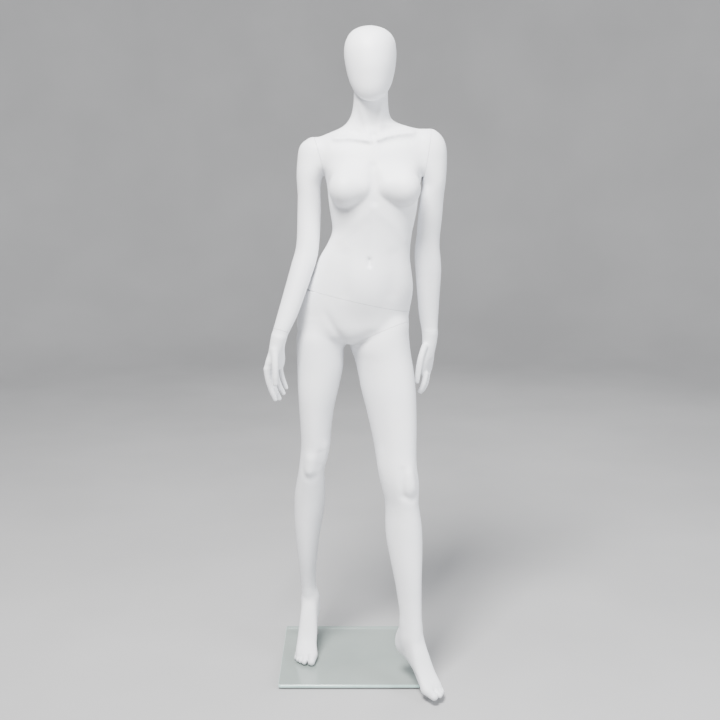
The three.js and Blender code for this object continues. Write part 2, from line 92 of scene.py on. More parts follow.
TRUNK = [
    [936, -78, 30, -24, 62],
    [955, -136, 92, -58, 104],
    [980, -172, 130, -74, 120],
    [1010, -173, 134, -81, 124],
    [1040, -169, 139, -85, 118],
    [1070, -161, 144, -88, 106],
    [1100, -148, 145.5, -90, 91],
    [1140, -128, 141, -91, 76],
    [1180, -110, 136, -89, 69],
    [1210, -92, 137, -87, 68],
    [1250, -75, 142, -87, 73],
    [1290, -79, 151, -90, 83],
    [1330, -85, 157, -94, 95],
    [1370, -89, 162, -94, 104],
    [1400, -96, 168, -88, 108],
    [1440, -112, 179, -74, 108],
    [1470, -120, 185, -60, 104],
    [1495, -120, 190, -44, 96],
    [1512, -88, 186, -32, 88],
    [1526, -50, 150, -24, 84],
    [1538, -37, 100, -20, 82],
    [1552, -27, 84, -22, 80],
    [1575, -20, 77, -28, 76],
    [1600, -17, 75, -34, 70],
    [1655, -17, 75, -38, 62],
]
HEAD = [
    [1596.5, 29, 29, -45, -45],
    [1600, 10, 48, -62, -20],
    [1606, -1, 59, -71, -4],
    [1616, -11, 70, -78, 18],
    [1628, -19, 77, -83, 40],
    [1642, -26, 84, -86, 57],
    [1660, -32, 89, -89, 72],
    [1685, -38, 94, -92, 87],
    [1712, -42, 96.5, -91, 96],
    [1735, -42, 96, -87, 98],
    [1755, -37.5, 92, -78, 92],
    [1772, -28, 82, -64, 78],
    [1784, -14, 66, -44, 58],
    [1790.5, 4, 48, -20, 34],
    [1793, 26, 26, 6, 6],
]
RIGHT_LEG = [
    [1006, -160, -40, -58, 110],
    [960, -176.5, -42, -71, 116],
    [930, -177, -45, -73, 110],
    [870, -175.6, -47.5, -74, 98],
    [810, -174, -60, -74, 86],
    [750, -170.6, -73.7, -71, 76],
    [690, -167, -81, -67, 65],
    [650, -166, -84, -64, 57],
    [610, -169.5, -92, -62, 51],
    [575, -173.5, -101, -59, 50],
    [545, -179, -100.5, -51, 56],
    [510, -185, -100, -42, 68],
    [480, -188, -100, -35, 78],
    [450, -189, -102.6, -29, 84],
    [410, -188.8, -109, -22, 87.5],
    [360, -185.4, -118, -13, 87.5],
    [300, -180, -124.6, 0, 85],
    [240, -174.6, -130, 17, 84.5],
    [205, -172, -129.5, 26, 86],
    [170, -170.5, -122.5, 30, 92],
    [140, -169, -121, 38, 102],
    [110, -164, -126, 44, 96],
]
LEFT_LEG = [
    [1052, 10, 116, -48, 94],
    [1028, 7, 124, -56, 101],
    [1006, 3, 132, -65, 106],
    [960, -25, 135.5, -76, 110],
    [930, -30, 138.3, -79, 103],
    [900, -18, 142.7, -82, 95],
    [870, -9.6, 148, -88, 84],
    [810, 3, 154.5, -102, 63],
    [750, 19, 156.3, -114, 40],
    [690, 33, 156.3, -126, 16],
    [650, 41, 155.5, -134, 0],
    [610, 47, 156.5, -145, -14],
    [575, 53, 161.5, -153, -26],
    [545, 61, 162.5, -154, -37],
    [510, 69, 161.5, -153, -41],
    [480, 70.4, 166, -156, -43],
    [450, 70.4, 170, -161, -49],
    [410, 72.5, 172.3, -167, -59],
    [360, 82, 171.8, -175, -77],
    [300, 95, 170, -184, -100],
    [240, 105, 169.8, -191, -120],
    [205, 109.5, 170, -197, -132],
    [170, 111.5, 171, -206, -137],
    [145, 111, 172, -210, -142],
    [115, 116, 166, -200, -150],
]
RIGHT_ARM = [
    [1502, -134, -84, 0, 44],
    [1494, -149, -70, -14, 56],
    [1484, -160, -62, -24, 64],
    [1470, -166, -60, -29, 69],
    [1440, -170, -70, -33, 71],
    [1410, -172.5, -92, -34, 67],
    [1380, -172, -106.4, -33, 58],
    [1350, -169.7, -107.8, -34, 50],
    [1320, -169.8, -107, -37, 42],
    [1290, -170.5, -107.3, -41, 35],
    [1260, -171, -108.4, -46, 27],
    [1230, -172, -110.4, -53, 19],
    [1200, -175.5, -113, -61, 9],
    [1170, -184.4, -119, -71, -2],
    [1140, -192.8, -129, -80, -12],
    [1110, -201, -139, -88, -24],
    [1080, -209.5, -150, -95, -36],
    [1050, -218, -161, -102, -48],
    [1020, -226.5, -173.5, -108, -61],
    [990, -235, -189, -114, -73],
    [965, -240, -202, -117, -82],
    [940, -243, -211, -117, -88],
    [922, -241, -219, -112, -93],
]
LEFT_ARM = [
    [1524, 146, 198, 4, 44],
    [1516, 136, 211, -10, 54],
    [1506, 130, 221, -19, 60],
    [1494, 127, 228.5, -25, 66],
    [1478, 128, 233.5, -29, 69],
    [1440, 132, 236, -32, 71],
    [1410, 152, 235.2, -30, 68],
    [1380, 169.6, 233, -26, 61],
    [1350, 165.4, 229.5, -21, 56],
    [1320, 162, 227, -15, 54],
    [1290, 159.5, 225.5, -8, 56],
    [1260, 158, 223, 0, 62],
    [1230, 156, 220.6, 7, 70],
    [1200, 152.5, 220.7, 10, 77],
    [1170, 151.8, 224.4, 12, 83],
    [1140, 154.5, 226.5, 14, 86],
    [1110, 156.7, 225.7, 18, 87],
    [1080, 159.3, 223.9, 22, 87],
    [1050, 162.2, 222.4, 27, 86],
    [1020, 164.9, 221, 32, 84],
    [990, 169.5, 219.6, 37, 81],
    [964, 175, 218.6, 40, 78],
    [938, 178.5, 217, 43, 77],
    [915, 181, 213, 46, 74],
    [890, 185, 207, 50, 70],
]

# ---------------------------------------------------------------------------
# Fields: each takes points (n, 3) in millimetres and is about the distance to a surface,
# negative inside.


def smooth_table(levels, blur):
    """Outline limits at every millimetre of height, eased and blurred along the height."""
    table = np.array(sorted(levels), float)
    z = table[:, 0]
    heights = np.arange(z[0], z[-1] + 0.5, 1.0)
    columns = []
    for values in table[:, 1:].T:
        slope = np.gradient(values, z)
        k = np.clip(np.searchsorted(z, heights, side="right") - 1, 0, len(z) - 2)
        span = z[k + 1] - z[k]
        t = (heights - z[k]) / span
        eased = (
            (2 * t**3 - 3 * t**2 + 1) * values[k]
            + (t**3 - 2 * t**2 + t) * span * slope[k]
            + (3 * t**2 - 2 * t**3) * values[k + 1]
            + (t**3 - t**2) * span * slope[k + 1]
        )
        if blur:
            reach = int(3 * blur)
            kernel = np.exp(-0.5 * (np.arange(-reach, reach + 1) / blur) ** 2)
            line = np.arange(-reach, 0)
            before = eased[0] + (eased[1] - eased[0]) * line
            after = eased[-1] + (eased[-1] - eased[-2]) * np.arange(1, reach + 1)
            padded = np.concatenate([before, eased, after])
            eased = np.convolve(padded, kernel / kernel.sum(), "valid")
        columns.append(eased)
    return heights, columns


def limb(levels, lean=0.0, power=2.0, blur=7.0, ends=8.0, foot_end=None):
    """A limb of oval sections. lean skews the ovals, power squares them, ends rounds the tips."""
    foot_end = foot_end or ends
    heights, columns = smooth_table(levels, blur)

    def field(p):
        x, y, z = p.T
        left, right, front, back = (np.interp(z, heights, c) for c in columns)
        dx = x - (left + right) / 2
        dy = y - (front + back) / 2
        u = 2 * dx / (right - left)
        v = (2 * dy / (back - front) - u * math.sin(lean)) / math.cos(lean)
        if power == 2.0:
            q = np.sqrt(u * u + v * v)
        else:
            q = (np.abs(u) ** power + np.abs(v) ** power) ** (1 / power)
        reach = np.hypot(dx, dy)
        side = reach - reach / np.maximum(q, 1e-6)
        open_top = -melt(-side, heights[-1] - z, ends)
        return -melt(-open_top, z - heights[0], foot_end)

    return field


def egg(levels, blur=5.0):
    """A closed form of oval sections that shrink to nothing at both ends."""
    squared = [
        [z, (r - l) ** 2 / 4, (b - f) ** 2 / 4, (l + r) / 2, (f + b) / 2]
        for z, l, r, f, b in levels
    ]
    heights, columns = smooth_table(squared, blur)
    wide = columns[0]
    slope = np.gradient(wide)

    def field(p):
        x, y, z = p.T
        at = [np.interp(z, heights, c) for c in columns]
        beyond = np.maximum(z - heights[-1], 0) * slope[-1]
        beyond = beyond - np.maximum(heights[0] - z, 0) * slope[0]
        width = at[0] + beyond
        ratio = np.maximum(at[0], 40) / np.maximum(at[1], 40)
        dx, dy = x - at[2], y - at[3]
        value = dx**2 + ratio * dy**2 - width
        steep = np.sqrt(4 * dx**2 + 4 * (ratio * dy) ** 2 + np.interp(z, heights, slope) ** 2)
        return value / np.maximum(steep, 30)

    return field


def melt(a, b, k):
    """The union of two fields with a fillet about k across."""
    h = np.maximum(k - np.abs(a - b), 0) / k
    return np.minimum(a, b) - h**3 * k / 6


def ramp(x, low, high):
    """0 below low and 1 above high, eased."""
    t = np.clip((x - low) / (high - low), 0, 1)
    return t * t * (3 - 2 * t)


def ball(centre, radii, turn=0.0):
    """An ellipsoid, turned about Z."""
    c, s = math.cos(turn), math.sin(turn)
    radii = np.array(radii, float)

    def field(p):
        d = p - centre
        d = np.stack([c * d[:, 0] + s * d[:, 1], -s * d[:, 0] + c * d[:, 1], d[:, 2]], 1)
        near = np.linalg.norm(d / radii, axis=1)
        steep = np.linalg.norm(d / radii**2, axis=1)
        return near * (near - 1) / np.maximum(steep, 1e-6)

    return field


def bar(start, end, thick, thin=None):
    """A round bar that tapers from thick to thin."""
    a, b = np.array(start, float), np.array(end, float)
    thin = thick if thin is None else thin
    way = b - a

    def field(p):
        d = p - a
        t = np.clip(d @ way / (way @ way), 0, 1)
        return np.linalg.norm(d - t[:, None] * way, axis=1) - (thick + (thin - thick) * t)

    return field


def along(p, path):
    """Distance from each point to a path of straight stretches."""
    best = np.full(len(p), np.inf)
    for a, b in zip(path[:-1], path[1:]):
        way = b - a
        d = p - a
        t = np.clip(d @ way / (way @ way), 0, 1)
        best = np.minimum(best, np.linalg.norm(d - t[:, None] * way, axis=1))
    return best


def mark(path, height, width, side=0, fade=None):
    """A soft ridge of a height, or a groove if it is negative, along a path of (x, z) or
    (x, y, z) points. With (x, z) points it runs on the front (side -1) or the back (side 1).
    fade is the height where it starts to fade upward and the height where it is gone."""
    path = [np.array(point, float) for point in path]
    if len(path) == 1:
        path.append(path[0] + 1e-3)
    flat = len(path[0]) == 2

    def change(p):
        d = along(p[:, [0, 2]] if flat else p, path)
        size = -height * np.exp(-0.5 * (d / width) ** 2)
        if fade:
            size = size * (1 - ramp(p[:, 2], *fade))
        return size * ramp(side * p[:, 1], -10, 20) if flat else size

    return change


# ---------------------------------------------------------------------------
# The figure's masses.

ARMPIT = 1399.0  # the shoulder seams end at this height
CROTCH_X = -36.0  # the left thigh's seam ends at this plane

trunk_limb = limb(TRUNK, power=2.3, foot_end=34)
right_arm = limb(RIGHT_ARM)
left_arm = limb(LEFT_ARM)
right_leg = limb(RIGHT_LEG, lean=0.1, foot_end=18)
left_leg = limb(LEFT_LEG, lean=-0.25, foot_end=18)
head_egg = egg(HEAD)

BREASTS = [  # each the outer and the inner part
    (ball((-35, -60, 1368), (48, 62, 52), -0.2), ball((1, -62, 1373), (40, 48, 41), -0.2)),
    (ball((113, -60, 1369), (48, 62, 52), 0.2), ball((75, -62, 1374), (40, 48, 41), 0.2)),
]
PUBIS = ball((-20, -24, 992), (46, 46, 47))
BELLY = ball((8, -52, 1108), (62, 44, 78))
BUTTOCKS = [ball((-84, 66, 988), (74, 66, 76)), ball((56, 62, 974), (72, 64, 76))]
TRUNK_MARKS = [
    mark([(29, 1493), (2, 1498), (-28, 1502), (-68, 1500)], 9.0, 4.8, -1),  # collar bones
    mark([(46, 1496), (74, 1506), (104, 1512), (142, 1515)], 9.0, 4.8, -1),
    mark([(16, 1479), (-22, 1485), (-66, 1484)], -4.0, 8, -1),  # hollows below them
    mark([(58, 1483), (100, 1492), (140, 1496)], -4.0, 8, -1),
    mark([(-6, 1513), (-50, 1516)], -7.5, 7, -1),  # hollows above them
    mark([(70, 1522), (112, 1528)], -7.5, 7, -1),
    mark([(37, 1503)], -10.0, 8, -1),  # pit of the neck
    mark([(30, 1500), (14, 1540), (-2, 1590)], 4.0, 6, -1),  # neck cords
    mark([(46, 1502), (52, 1540), (60, 1590)], 4.0, 6, -1),
    mark([(35, 1425), (37, 1390), (38, 1335)], -4.5, 8, -1),  # breast bone
    mark([(34, 1300), (31, 1250), (26, 1190)], -1.3, 9, -1),  # midline
    mark([(25, 1180), (25, 1166)], -7.0, 4, -1),  # navel
    mark([(16, 1300), (-6, 1284), (-28, 1262), (-52, 1232)], 1.4, 9, -1),  # rib edges
    mark([(54, 1300), (74, 1286), (98, 1262), (120, 1232)], 1.4, 9, -1),
    mark(  # groins
        [(-111, 1081), (-90, 1030), (-67, 986), (-52, 965), (-42, 946)], -4.8, 7.5, -1, (985, 1062),
    ),
    mark([(30, 977), (4, 963), (-20, 950)], -2.5, 8, -1),
    mark([(-42, 1190), (-46, 1140), (-40, 1090)], -2.2, 13, -1),  # sides of the belly
    mark([(88, 1190), (92, 1140), (86, 1090)], -2.2, 13, -1),
    mark(  # spine
        [(40, 1500), (38, 1440), (30, 1350), (18, 1250), (6, 1170), (-4, 1100)], -4.5, 11, 1,
    ),
    mark([(-14, 1046), (-17, 1010), (-18, 960), (-16, 925)], -15, 9, 1),  # between the buttocks
    mark([(-18, 1455), (-30, 1415), (-22, 1375)], 3.0, 17, 1),  # shoulder blades
    mark([(98, 1462), (110, 1420), (102, 1380)], 3.0, 17, 1),
]
RIGHT_LEG_MARKS = [
    mark([(-140, -66, 618), (-143, -66, 588)], 6.0, 13),  # kneecap
    mark([(-166, -56, 588), (-158, -60, 568), (-142, -62, 559), (-124, -56, 566)], -4.0, 7),
    mark([(-166, -52, 640), (-169, -52, 606)], -2.5, 8),
    mark([(-112, -56, 636), (-110, -52, 600)], -2.5, 8),
    mark([(-98, -40, 650), (-97, -36, 616)], 3.5, 13),
    mark([(-128, 54, 615), (-135, 54, 585)], -3.0, 12),
    mark([(-128, 92, 440), (-126, 92, 380)], 3.0, 20),  # calf
    mark([(-165, 90, 440), (-166, 90, 390)], 2.6, 18),
    mark([(-122, 58, 172)], 2.5, 13),  # ankle bones
    mark([(-171, 66, 160)], 2.5, 13),
    mark([(-128, 84, 185), (-126, 88, 150)], -3.0, 9),
    mark([(-168, 84, 185), (-169, 88, 150)], -3.0, 9),
    mark([(-60, 104, 925), (-100, 116, 917), (-140, 104, 925)], -4.0, 9),  # below the buttock
]
LEFT_LEG_MARKS = [
    mark([(138, -148, 602), (140, -152, 566)], 6.0, 13),
    mark([(117, -146, 612), (115, -148, 576), (119, -147, 544)], -4.5, 7),
    mark([(159, -128, 610), (162, -130, 576)], -2.5, 8),
    mark([(124, -150, 536), (142, -150, 530), (156, -140, 538)], -3.5, 7),
    mark([(56, -100, 646), (58, -100, 612)], 2.4, 14),
    mark([(112, -22, 580), (105, -28, 550)], -3.0, 12),
    mark([(98, -52, 430), (98, -66, 375)], 3.0, 20),
    mark([(140, -52, 430), (140, -66, 380)], 2.6, 18),
    mark([(112, -170, 182)], 2.5, 13),
    mark([(171, -168, 172)], 2.5, 13),
    mark([(116, -140, 198), (113, -138, 165)], -3.0, 9),
    mark([(157, -128, 198), (158, -128, 165)], -3.0, 9),
    mark([(30, 100, 915), (70, 100, 908), (108, 88, 915)], -4.0, 9),
]
RIGHT_ARM_MARKS = [mark([(-150, 14, 1206)], 3.0, 11)]  # elbows
LEFT_ARM_MARKS = [mark([(190, 84, 1196)], 3.0, 11)]


def marked(p, value, marks):
    for change in marks:
        value = value + change(p)
    return value


def trunk(p):
    """Pelvis, waist, chest, shoulders' inner halves and neck."""
    z = p[:, 2]
    value = trunk_limb(p)
    for outer, inner in BREASTS:
        breast = melt(outer(p), inner(p), 30)
        value = melt(value, breast, 8 + 42 * ramp(z, 1375, 1430))
    value = melt(value, BELLY(p), 40)
    value = melt(value, PUBIS(p), 24)
    for buttock in BUTTOCKS:
        value = melt(value, buttock(p), 30)
    return marked(p, value, TRUNK_MARKS)


FAR_RATE = 4  # how fast a field is pushed away, per millimetre


def far(value, distance):
    """Pushes a field away where distance is above 0."""
    return value + FAR_RATE * np.maximum(distance, 0)


def shoulder_fillet(z):
    return 3 + 27 * ramp(z, ARMPIT - 20, ARMPIT + 30) * (1 - 0.6 * ramp(z, 1462, 1498))


def torso_mass(p):
    """The trunk with the inner ends of both arms."""
    z = p[:, 2]
    value = trunk(p)
    for arm in (right_arm, left_arm):
        value = melt(value, far(arm(p), ARMPIT - z), shoulder_fillet(z))
    return value


def arm_mass(arm, marks):
    """An arm with the trunk's outer end above the armpit."""
    def field(p):
        z = p[:, 2]
        return melt(marked(p, arm(p), marks), far(trunk(p), ARMPIT - z), shoulder_fillet(z))

    return field


def right_leg_mass(p):
    return marked(p, right_leg(p), RIGHT_LEG_MARKS)


def left_leg_mass(p):
    return marked(p, left_leg(p), LEFT_LEG_MARKS)


RIGHT_HIP_FILLET, LEFT_HIP_FILLET = 26, 14
THIGH_STUB = 872.0  # the hips keep the left thigh only above this height, beyond its seam


def pelvis(p):
    """The trunk with the right leg."""
    return melt(trunk(p), right_leg_mass(p), RIGHT_HIP_FILLET)


def hips_mass(p):
    """The pelvis with the stub of the left thigh."""
    stub = far(left_leg_mass(p), THIGH_STUB - p[:, 2])
    return melt(pelvis(p), stub, LEFT_HIP_FILLET)


def left_thigh_mass(p):
    """The pelvis with the whole left leg, so that both sides of its seam match."""
    return melt(pelvis(p), left_leg_mass(p), LEFT_HIP_FILLET)


# ---------------------------------------------------------------------------
# From a field to a mesh.

BLOCK = 6  # cells along each side of a block
NEAR = 1.25  # a block is worked out if its middle is nearer to the surface than this many blocks
BATCH = 1500  # blocks worked out at a time


def sample(field, low, high, cell):
    """The field on a grid, worked out only in the blocks that the surface crosses."""
    size = [int(math.ceil((h - l) / cell / BLOCK)) * BLOCK for l, h in zip(low, high)]
    blocks = [s // BLOCK for s in size]
    corner = np.array(low, float)
    index = np.stack(np.meshgrid(*[np.arange(b) for b in blocks], indexing="ij"), -1).reshape(-1, 3)
    middle = corner + (index + 0.5) * BLOCK * cell - cell / 2
    coarse = field(middle)
    near = np.abs(coarse) < BLOCK * cell * NEAR
    corners = np.stack(np.meshgrid(*[np.arange(b + 1) for b in blocks], indexing="ij"), -1)
    inside = field(corner + corners.reshape(-1, 3) * BLOCK * cell).reshape(corners.shape[:3]) < 0
    count = sum(
        inside[i:i + blocks[0], j:j + blocks[1], k:k + blocks[2]].astype(int)
        for i in (0, 1) for j in (0, 1) for k in (0, 1)
    ).reshape(-1)
    near |= (count > 0) & (count < 8)
    grid = np.where(coarse > 0, 1.0, -1.0).astype(np.float32) * BLOCK * cell
    grid = grid.reshape(blocks).repeat(BLOCK, 0).repeat(BLOCK, 1).repeat(BLOCK, 2)
    inner = np.stack(np.meshgrid(*[np.arange(BLOCK)] * 3, indexing="ij"), -1).reshape(-1, 3)
    picked = index[near]
    for start in range(0, len(picked), BATCH):
        cells = (picked[start:start + BATCH, None, :] * BLOCK + inner[None]).reshape(-1, 3)
        grid[tuple(cells.T)] = field(corner + cells * cell)
    return grid, corner


def settle(field, points, reach, rounds=3):
    """Moves points onto the field's surface, no further than reach in each round."""
    step = 0.5
    offsets = np.array([[1, -1, -1], [-1, 1, -1], [-1, -1, 1], [1, 1, 1]], float)
    for _ in range(rounds):
        slope = sum(field(points + step * o)[:, None] * o for o in offsets) / (4 * step)
        value = field(points)
        size = np.maximum((slope**2).sum(1), 0.05)
        points = points - np.clip(value / size, -reach, reach)[:, None] * slope
    return points


def surface(field, low, high, cell):
    """Points and quads of the field's surface inside a box."""
    grid, corner = sample(field, low, high, cell)
    volume = openvdb.FloatGrid(float(BLOCK * cell))
    volume.copyFromArray(grid)
    points, quads = volume.convertToQuads(isovalue=0.0)
    points = corner + np.asarray(points, float) * cell
    return settle(field, points, cell * 0.6), np.asarray(quads)


# ---------------------------------------------------------------------------
# Feet: distance forward of the heel, then the outer, inner, sole and upper limits.

FOOT_OUTLINE = [
    [0, -12, 12, 84, 112],
    [6, -18, 18, 74, 128],
    [18, -23, 23, 67, 150],
    [38, -24.5, 24.5, 64, 172],
    [62, -25, 25, 56, 172],
    [86, -26, 25, 40, 150],
    [110, -28, 27, 18, 108],
    [132, -31, 30, 3, 66],
    [150, -32, 32, 0, 44],
    [162, -30, 31, 1, 35],
    [173, -25, 28, 3, 27],
]
TOES = [  # start and end as (inward, forward, up), then the radii there
    [(17.0, 156, 17.0), (17.5, 193, 12.2), 14.0, 10.6],
    [(-3.0, 154, 16.0), (-3.0, 190, 9.8), 10.0, 7.6],
    [(-13.0, 150, 15.0), (-13.5, 182, 9.2), 9.4, 7.2],
    [(-21.0, 145, 14.0), (-22.0, 173, 8.8), 9.0, 6.8],
    [(-27.0, 138, 12.5), (-29.0, 161, 8.2), 8.6, 6.4],
]
FOOT_CLEARANCE = 0.3
foot_limb = limb(FOOT_OUTLINE, power=2.4, blur=4.0, ends=12.0)
toe_bars = [bar((a, h, s), (c, t, e), thick, thin) for (a, s, h), (c, e, t), thick, thin in TOES]


def foot(place, turn, side):
    """A foot on tiptoe, from the place of its heel. side is 1 for the right foot."""
    angle = math.radians(turn)
    forward = np.array([math.sin(angle), -math.cos(angle), 0.0])
    inward = np.array([math.cos(angle), math.sin(angle), 0.0]) * side
    heel = np.array([*place, GLASS_TOP + FOOT_CLEARANCE])

    def field(p):
        d = p - heel
        local = np.stack([d @ inward, d[:, 2], d @ forward], 1)
        value = foot_limb(local)
        toes = toe_bars[0](local)
        for toe in toe_bars[1:]:
            toes = melt(toes, toe(local), 3.0)
        value = melt(value, toes, 9.0)
        arch = ball((27, 22, 92), (14, 30, 46))
        value = value + 5 * np.exp(-np.maximum(arch(local), 0) / 9) * ramp(local[:, 0], 0, 20)
        return np.maximum(value, -d[:, 2])

    return field


right_foot = foot((-143.5, 114), -4, 1)
left_foot = foot((110, -122), 32.5, -1)


def ankle(leg_mass, foot_field):
    def field(p):
        return melt(leg_mass(p), foot_field(p), 20)

    return field


# Hands: the wrist, the knuckles' middle, the way across the palm, the palm's levels (distance
# from the wrist, half width, half thickness, and the same a little on) and the fingers.

HANDS = {
    "right": {
        "wrist": (-218, -98, 972), "knuckles": (-234, -84, 884), "across": (0.6, 0.78, 0),
        "palm": [[-6, 17.5, 17], [20, 18.5, 16.5], [45, 26, 15.5], [66, 35, 14.5], [93, 35, 12]],
        "fingers": [
            [8.6, (-251, -108, 886), (-247.5, -107, 850), (-231, -100, 802)],
            [8.6, (-242, -91, 882), (-239, -90, 845), (-221, -86, 801)],
            [8.0, (-231, -73, 884), (-227, -71, 848), (-210.5, -66, 811)],
            [7.0, (-219, -55, 890), (-216, -53, 860), (-203.5, -50, 823)],
            [9.0, (-230, -112, 938), (-228.5, -123, 898), (-228.7, -121, 849)],
        ],
    },
    "left": {
        "wrist": (199, 60, 958), "knuckles": (187, 68, 850), "across": (0.45, 0.89, 0),
        "palm": [[-6, 20, 17], [20, 19, 16], [48, 25, 15], [75, 34, 14.5], [118, 34, 11.5]],
        "fingers": [
            [8.2, (186, 46, 842), (181, 42, 814), (170, 46, 792)],
            [8.4, (191, 62, 836), (186, 58, 808), (173, 62, 787)],
            [8.0, (193, 78, 838), (188, 75, 810), (177, 78, 789)],
            [7.0, (193, 93, 845), (189, 92, 820), (181, 95, 800)],
            [8.8, (182, 40, 922), (168, 26, 880), (161, 28, 824)],
        ],
    },
}


FINGER_TAPER = np.array([1.0, 0.98, 0.955, 0.95, 0.9, 0.87, 0.74])  # root to tip
FINGER_BEND = 0.75  # how nearly a finger's curve passes through its middle joint


def unit(way):
    way = np.array(way, float)
    return way / np.linalg.norm(way)


def hand(spec, arm):
    """A hand that grows out of the end of an arm."""
    wrist = np.array(spec["wrist"], float)
    on = unit(np.array(spec["knuckles"]) - wrist)
    across = np.array(spec["across"], float)
    across = unit(across - (across @ on) * on)
    through = np.cross(on, across)
    palm = limb([[at, -w, w, -t, t] for at, w, t in spec["palm"]], power=2.4, blur=6.0, ends=14.0)
    bars = []
    for thick, a, b, c in spec["fingers"]:
        a, b, c = (np.array(point, float) for point in (a, b, c))
        bent = 2 * b - (a + c) / 2
        bent = b + (bent - b) * FINGER_BEND
        steps = np.linspace(0, 1, len(FINGER_TAPER))
        curve = [(1 - t) ** 2 * a + 2 * t * (1 - t) * bent + t * t * c for t in steps]
        widths = thick * FINGER_TAPER
        stretches = zip(curve[:-1], curve[1:], widths[:-1], widths[1:])
        bars.append([bar(*stretch) for stretch in stretches])

    def field(p):
        d = p - wrist
        value = palm(np.stack([d @ across, d @ through, d @ on], 1))
        fingers = None
        for stretches in bars:
            finger = np.min([stretch(p) for stretch in stretches], axis=0)
            fingers = finger if fingers is None else melt(fingers, finger, 3.0)
        value = melt(value, fingers, 12.0)
        return melt(value, arm(p), 16.0)

    return field


# ---------------------------------------------------------------------------
# Seams: a point of the plane, the way towards the moving side, and the round plates in it.

GAP = 0.3  # from the seam's plane to the shell on each side
SEAMS = {
    "waist": ((0, 12, 1059), (0.23, 0.046, 1), 45, 8, 5),
    "left_thigh": ((62, 14, 962), (0.435, -0.2635, -1), 36, 7, 5),
    "right_shoulder": ((-112, 18, 1450), (-1, -0.1, -0.266), 24, 5, 4),
    "left_shoulder": ((179.4, 18, 1450), (1, 0.05, -0.163), 24, 5, 4),
    "right_wrist": ((-212, -93, 988), (-0.3, -0.28, -0.914), 13, 3, 2.5),
    "left_wrist": ((195.5, 59, 964), (0.03, 0.06, -1), 13, 3, 2.5),
}
FIXED, MOVING = -1, 1
POCKET_SIDES = 48
PLATE_ROOM, SEAT_ROOM, PIN_ROOM = 0.4, 0.8, 2.9  # free space round, behind and past the fittings
WELL = 0.78  # radius of the stud's well, as a share of the plate's


def open_mesh(points, quads):
    mesh = bpy.data.meshes.new("work")
    mesh.from_pydata(points.tolist(), [], quads.tolist())
    bm = bmesh.new()
    bm.from_mesh(mesh)
    bpy.data.meshes.remove(mesh)
    return bm


def split(bm, at, normal, where=None):
    """Cuts the faces that where() picks along a plane and keeps both parts."""
    faces = [f for f in bm.faces if where is None or where(f.calc_center_median())]
    edges = list({e for f in faces for e in f.edges})
    verts = list({v for f in faces for v in f.verts})
    bmesh.ops.bisect_plane(
        bm, geom=verts + edges + faces, dist=1e-4, plane_co=at, plane_no=normal,
    )


def cleave(bm, at, normal, where=None):
    """Cuts the faces that where() picks along a plane and removes their part beyond it."""
    at, normal = Vector(at), Vector(normal).normalized()
    split(bm, at, normal, where)
    doomed = []
    for face in bm.faces:
        middle = face.calc_center_median()
        if (middle - at).dot(normal) > 0 and (where is None or where(middle)):
            doomed.append(face)
    bmesh.ops.delete(bm, geom=doomed, context="FACES")


def rim_edges(bm):
    return [e for e in bm.edges if e.is_boundary]


def face_off(bm, name, side, where=None, wall=None):
    """Cuts a shell at a seam and closes it with a flat face and the plates' round pocket.

    wall is the X of an upright plane that the shell was already cut at, where the seam ends."""
    at, toward, plate, pin, thick = SEAMS[name]
    inward = Vector(toward).normalized() * side
    at = Vector(at)
    cleave(bm, at + inward * GAP, -inward, where)
    room = plate + PLATE_ROOM
    seat = SEAT_ROOM + thick
    levels = [(room, GAP), (room, seat)]
    if side == FIXED:
        end = thick + PIN_ROOM + pin * 0.7
        levels += [(plate * WELL, seat), (plate * WELL, end)]
    turn = inward.to_track_quat("Z", "Y").to_matrix()
    rings = []
    for radius, depth in levels:
        angles = [2 * math.pi * i / POCKET_SIDES for i in range(POCKET_SIDES)]
        spots = [turn @ Vector((radius * math.cos(a), radius * math.sin(a), depth)) for a in angles]
        rings.append([bm.verts.new(at + spot) for spot in spots])
    outer = rim_edges(bm)
    sharp = set(outer)
    if wall is not None:
        flat = lambda v: abs((v.co - at).dot(inward) - GAP) < 1e-3
        upright = [e for e in outer if not (flat(e.verts[0]) and flat(e.verts[1]))]
        outer = [e for e in outer if e not in upright]
        if upright:
            ends = {v for e in upright for v in e.verts} & {v for e in outer for v in e.verts}
            ends = sorted(ends, key=lambda v: v.co.y)
            corners = [bm.edges.new(pair) for pair in zip(ends[::2], ends[1::2])]
            bmesh.ops.triangle_fill(
                bm, use_beauty=True, use_dissolve=False, edges=upright + corners,
            )
            outer += corners
            sharp |= set(corners)
    pairs = [(i, (i + 1) % POCKET_SIDES) for i in range(POCKET_SIDES)]
    inner = [bm.edges.new((rings[0][i], rings[0][j])) for i, j in pairs]
    bmesh.ops.triangle_fill(
        bm, use_beauty=True, use_dissolve=False, edges=outer + inner, normal=-inward,
    )
    for near, deep in zip(rings[:-1], rings[1:]):
        for i, j in pairs:
            bm.faces.new((near[i], near[j], deep[j], deep[i]))
    bm.faces.new(rings[-1])
    for ring in rings:
        for i, j in pairs:
            sharp.add(bm.edges.get((ring[i], ring[j])))
    for edge in sharp:
        edge.smooth = False


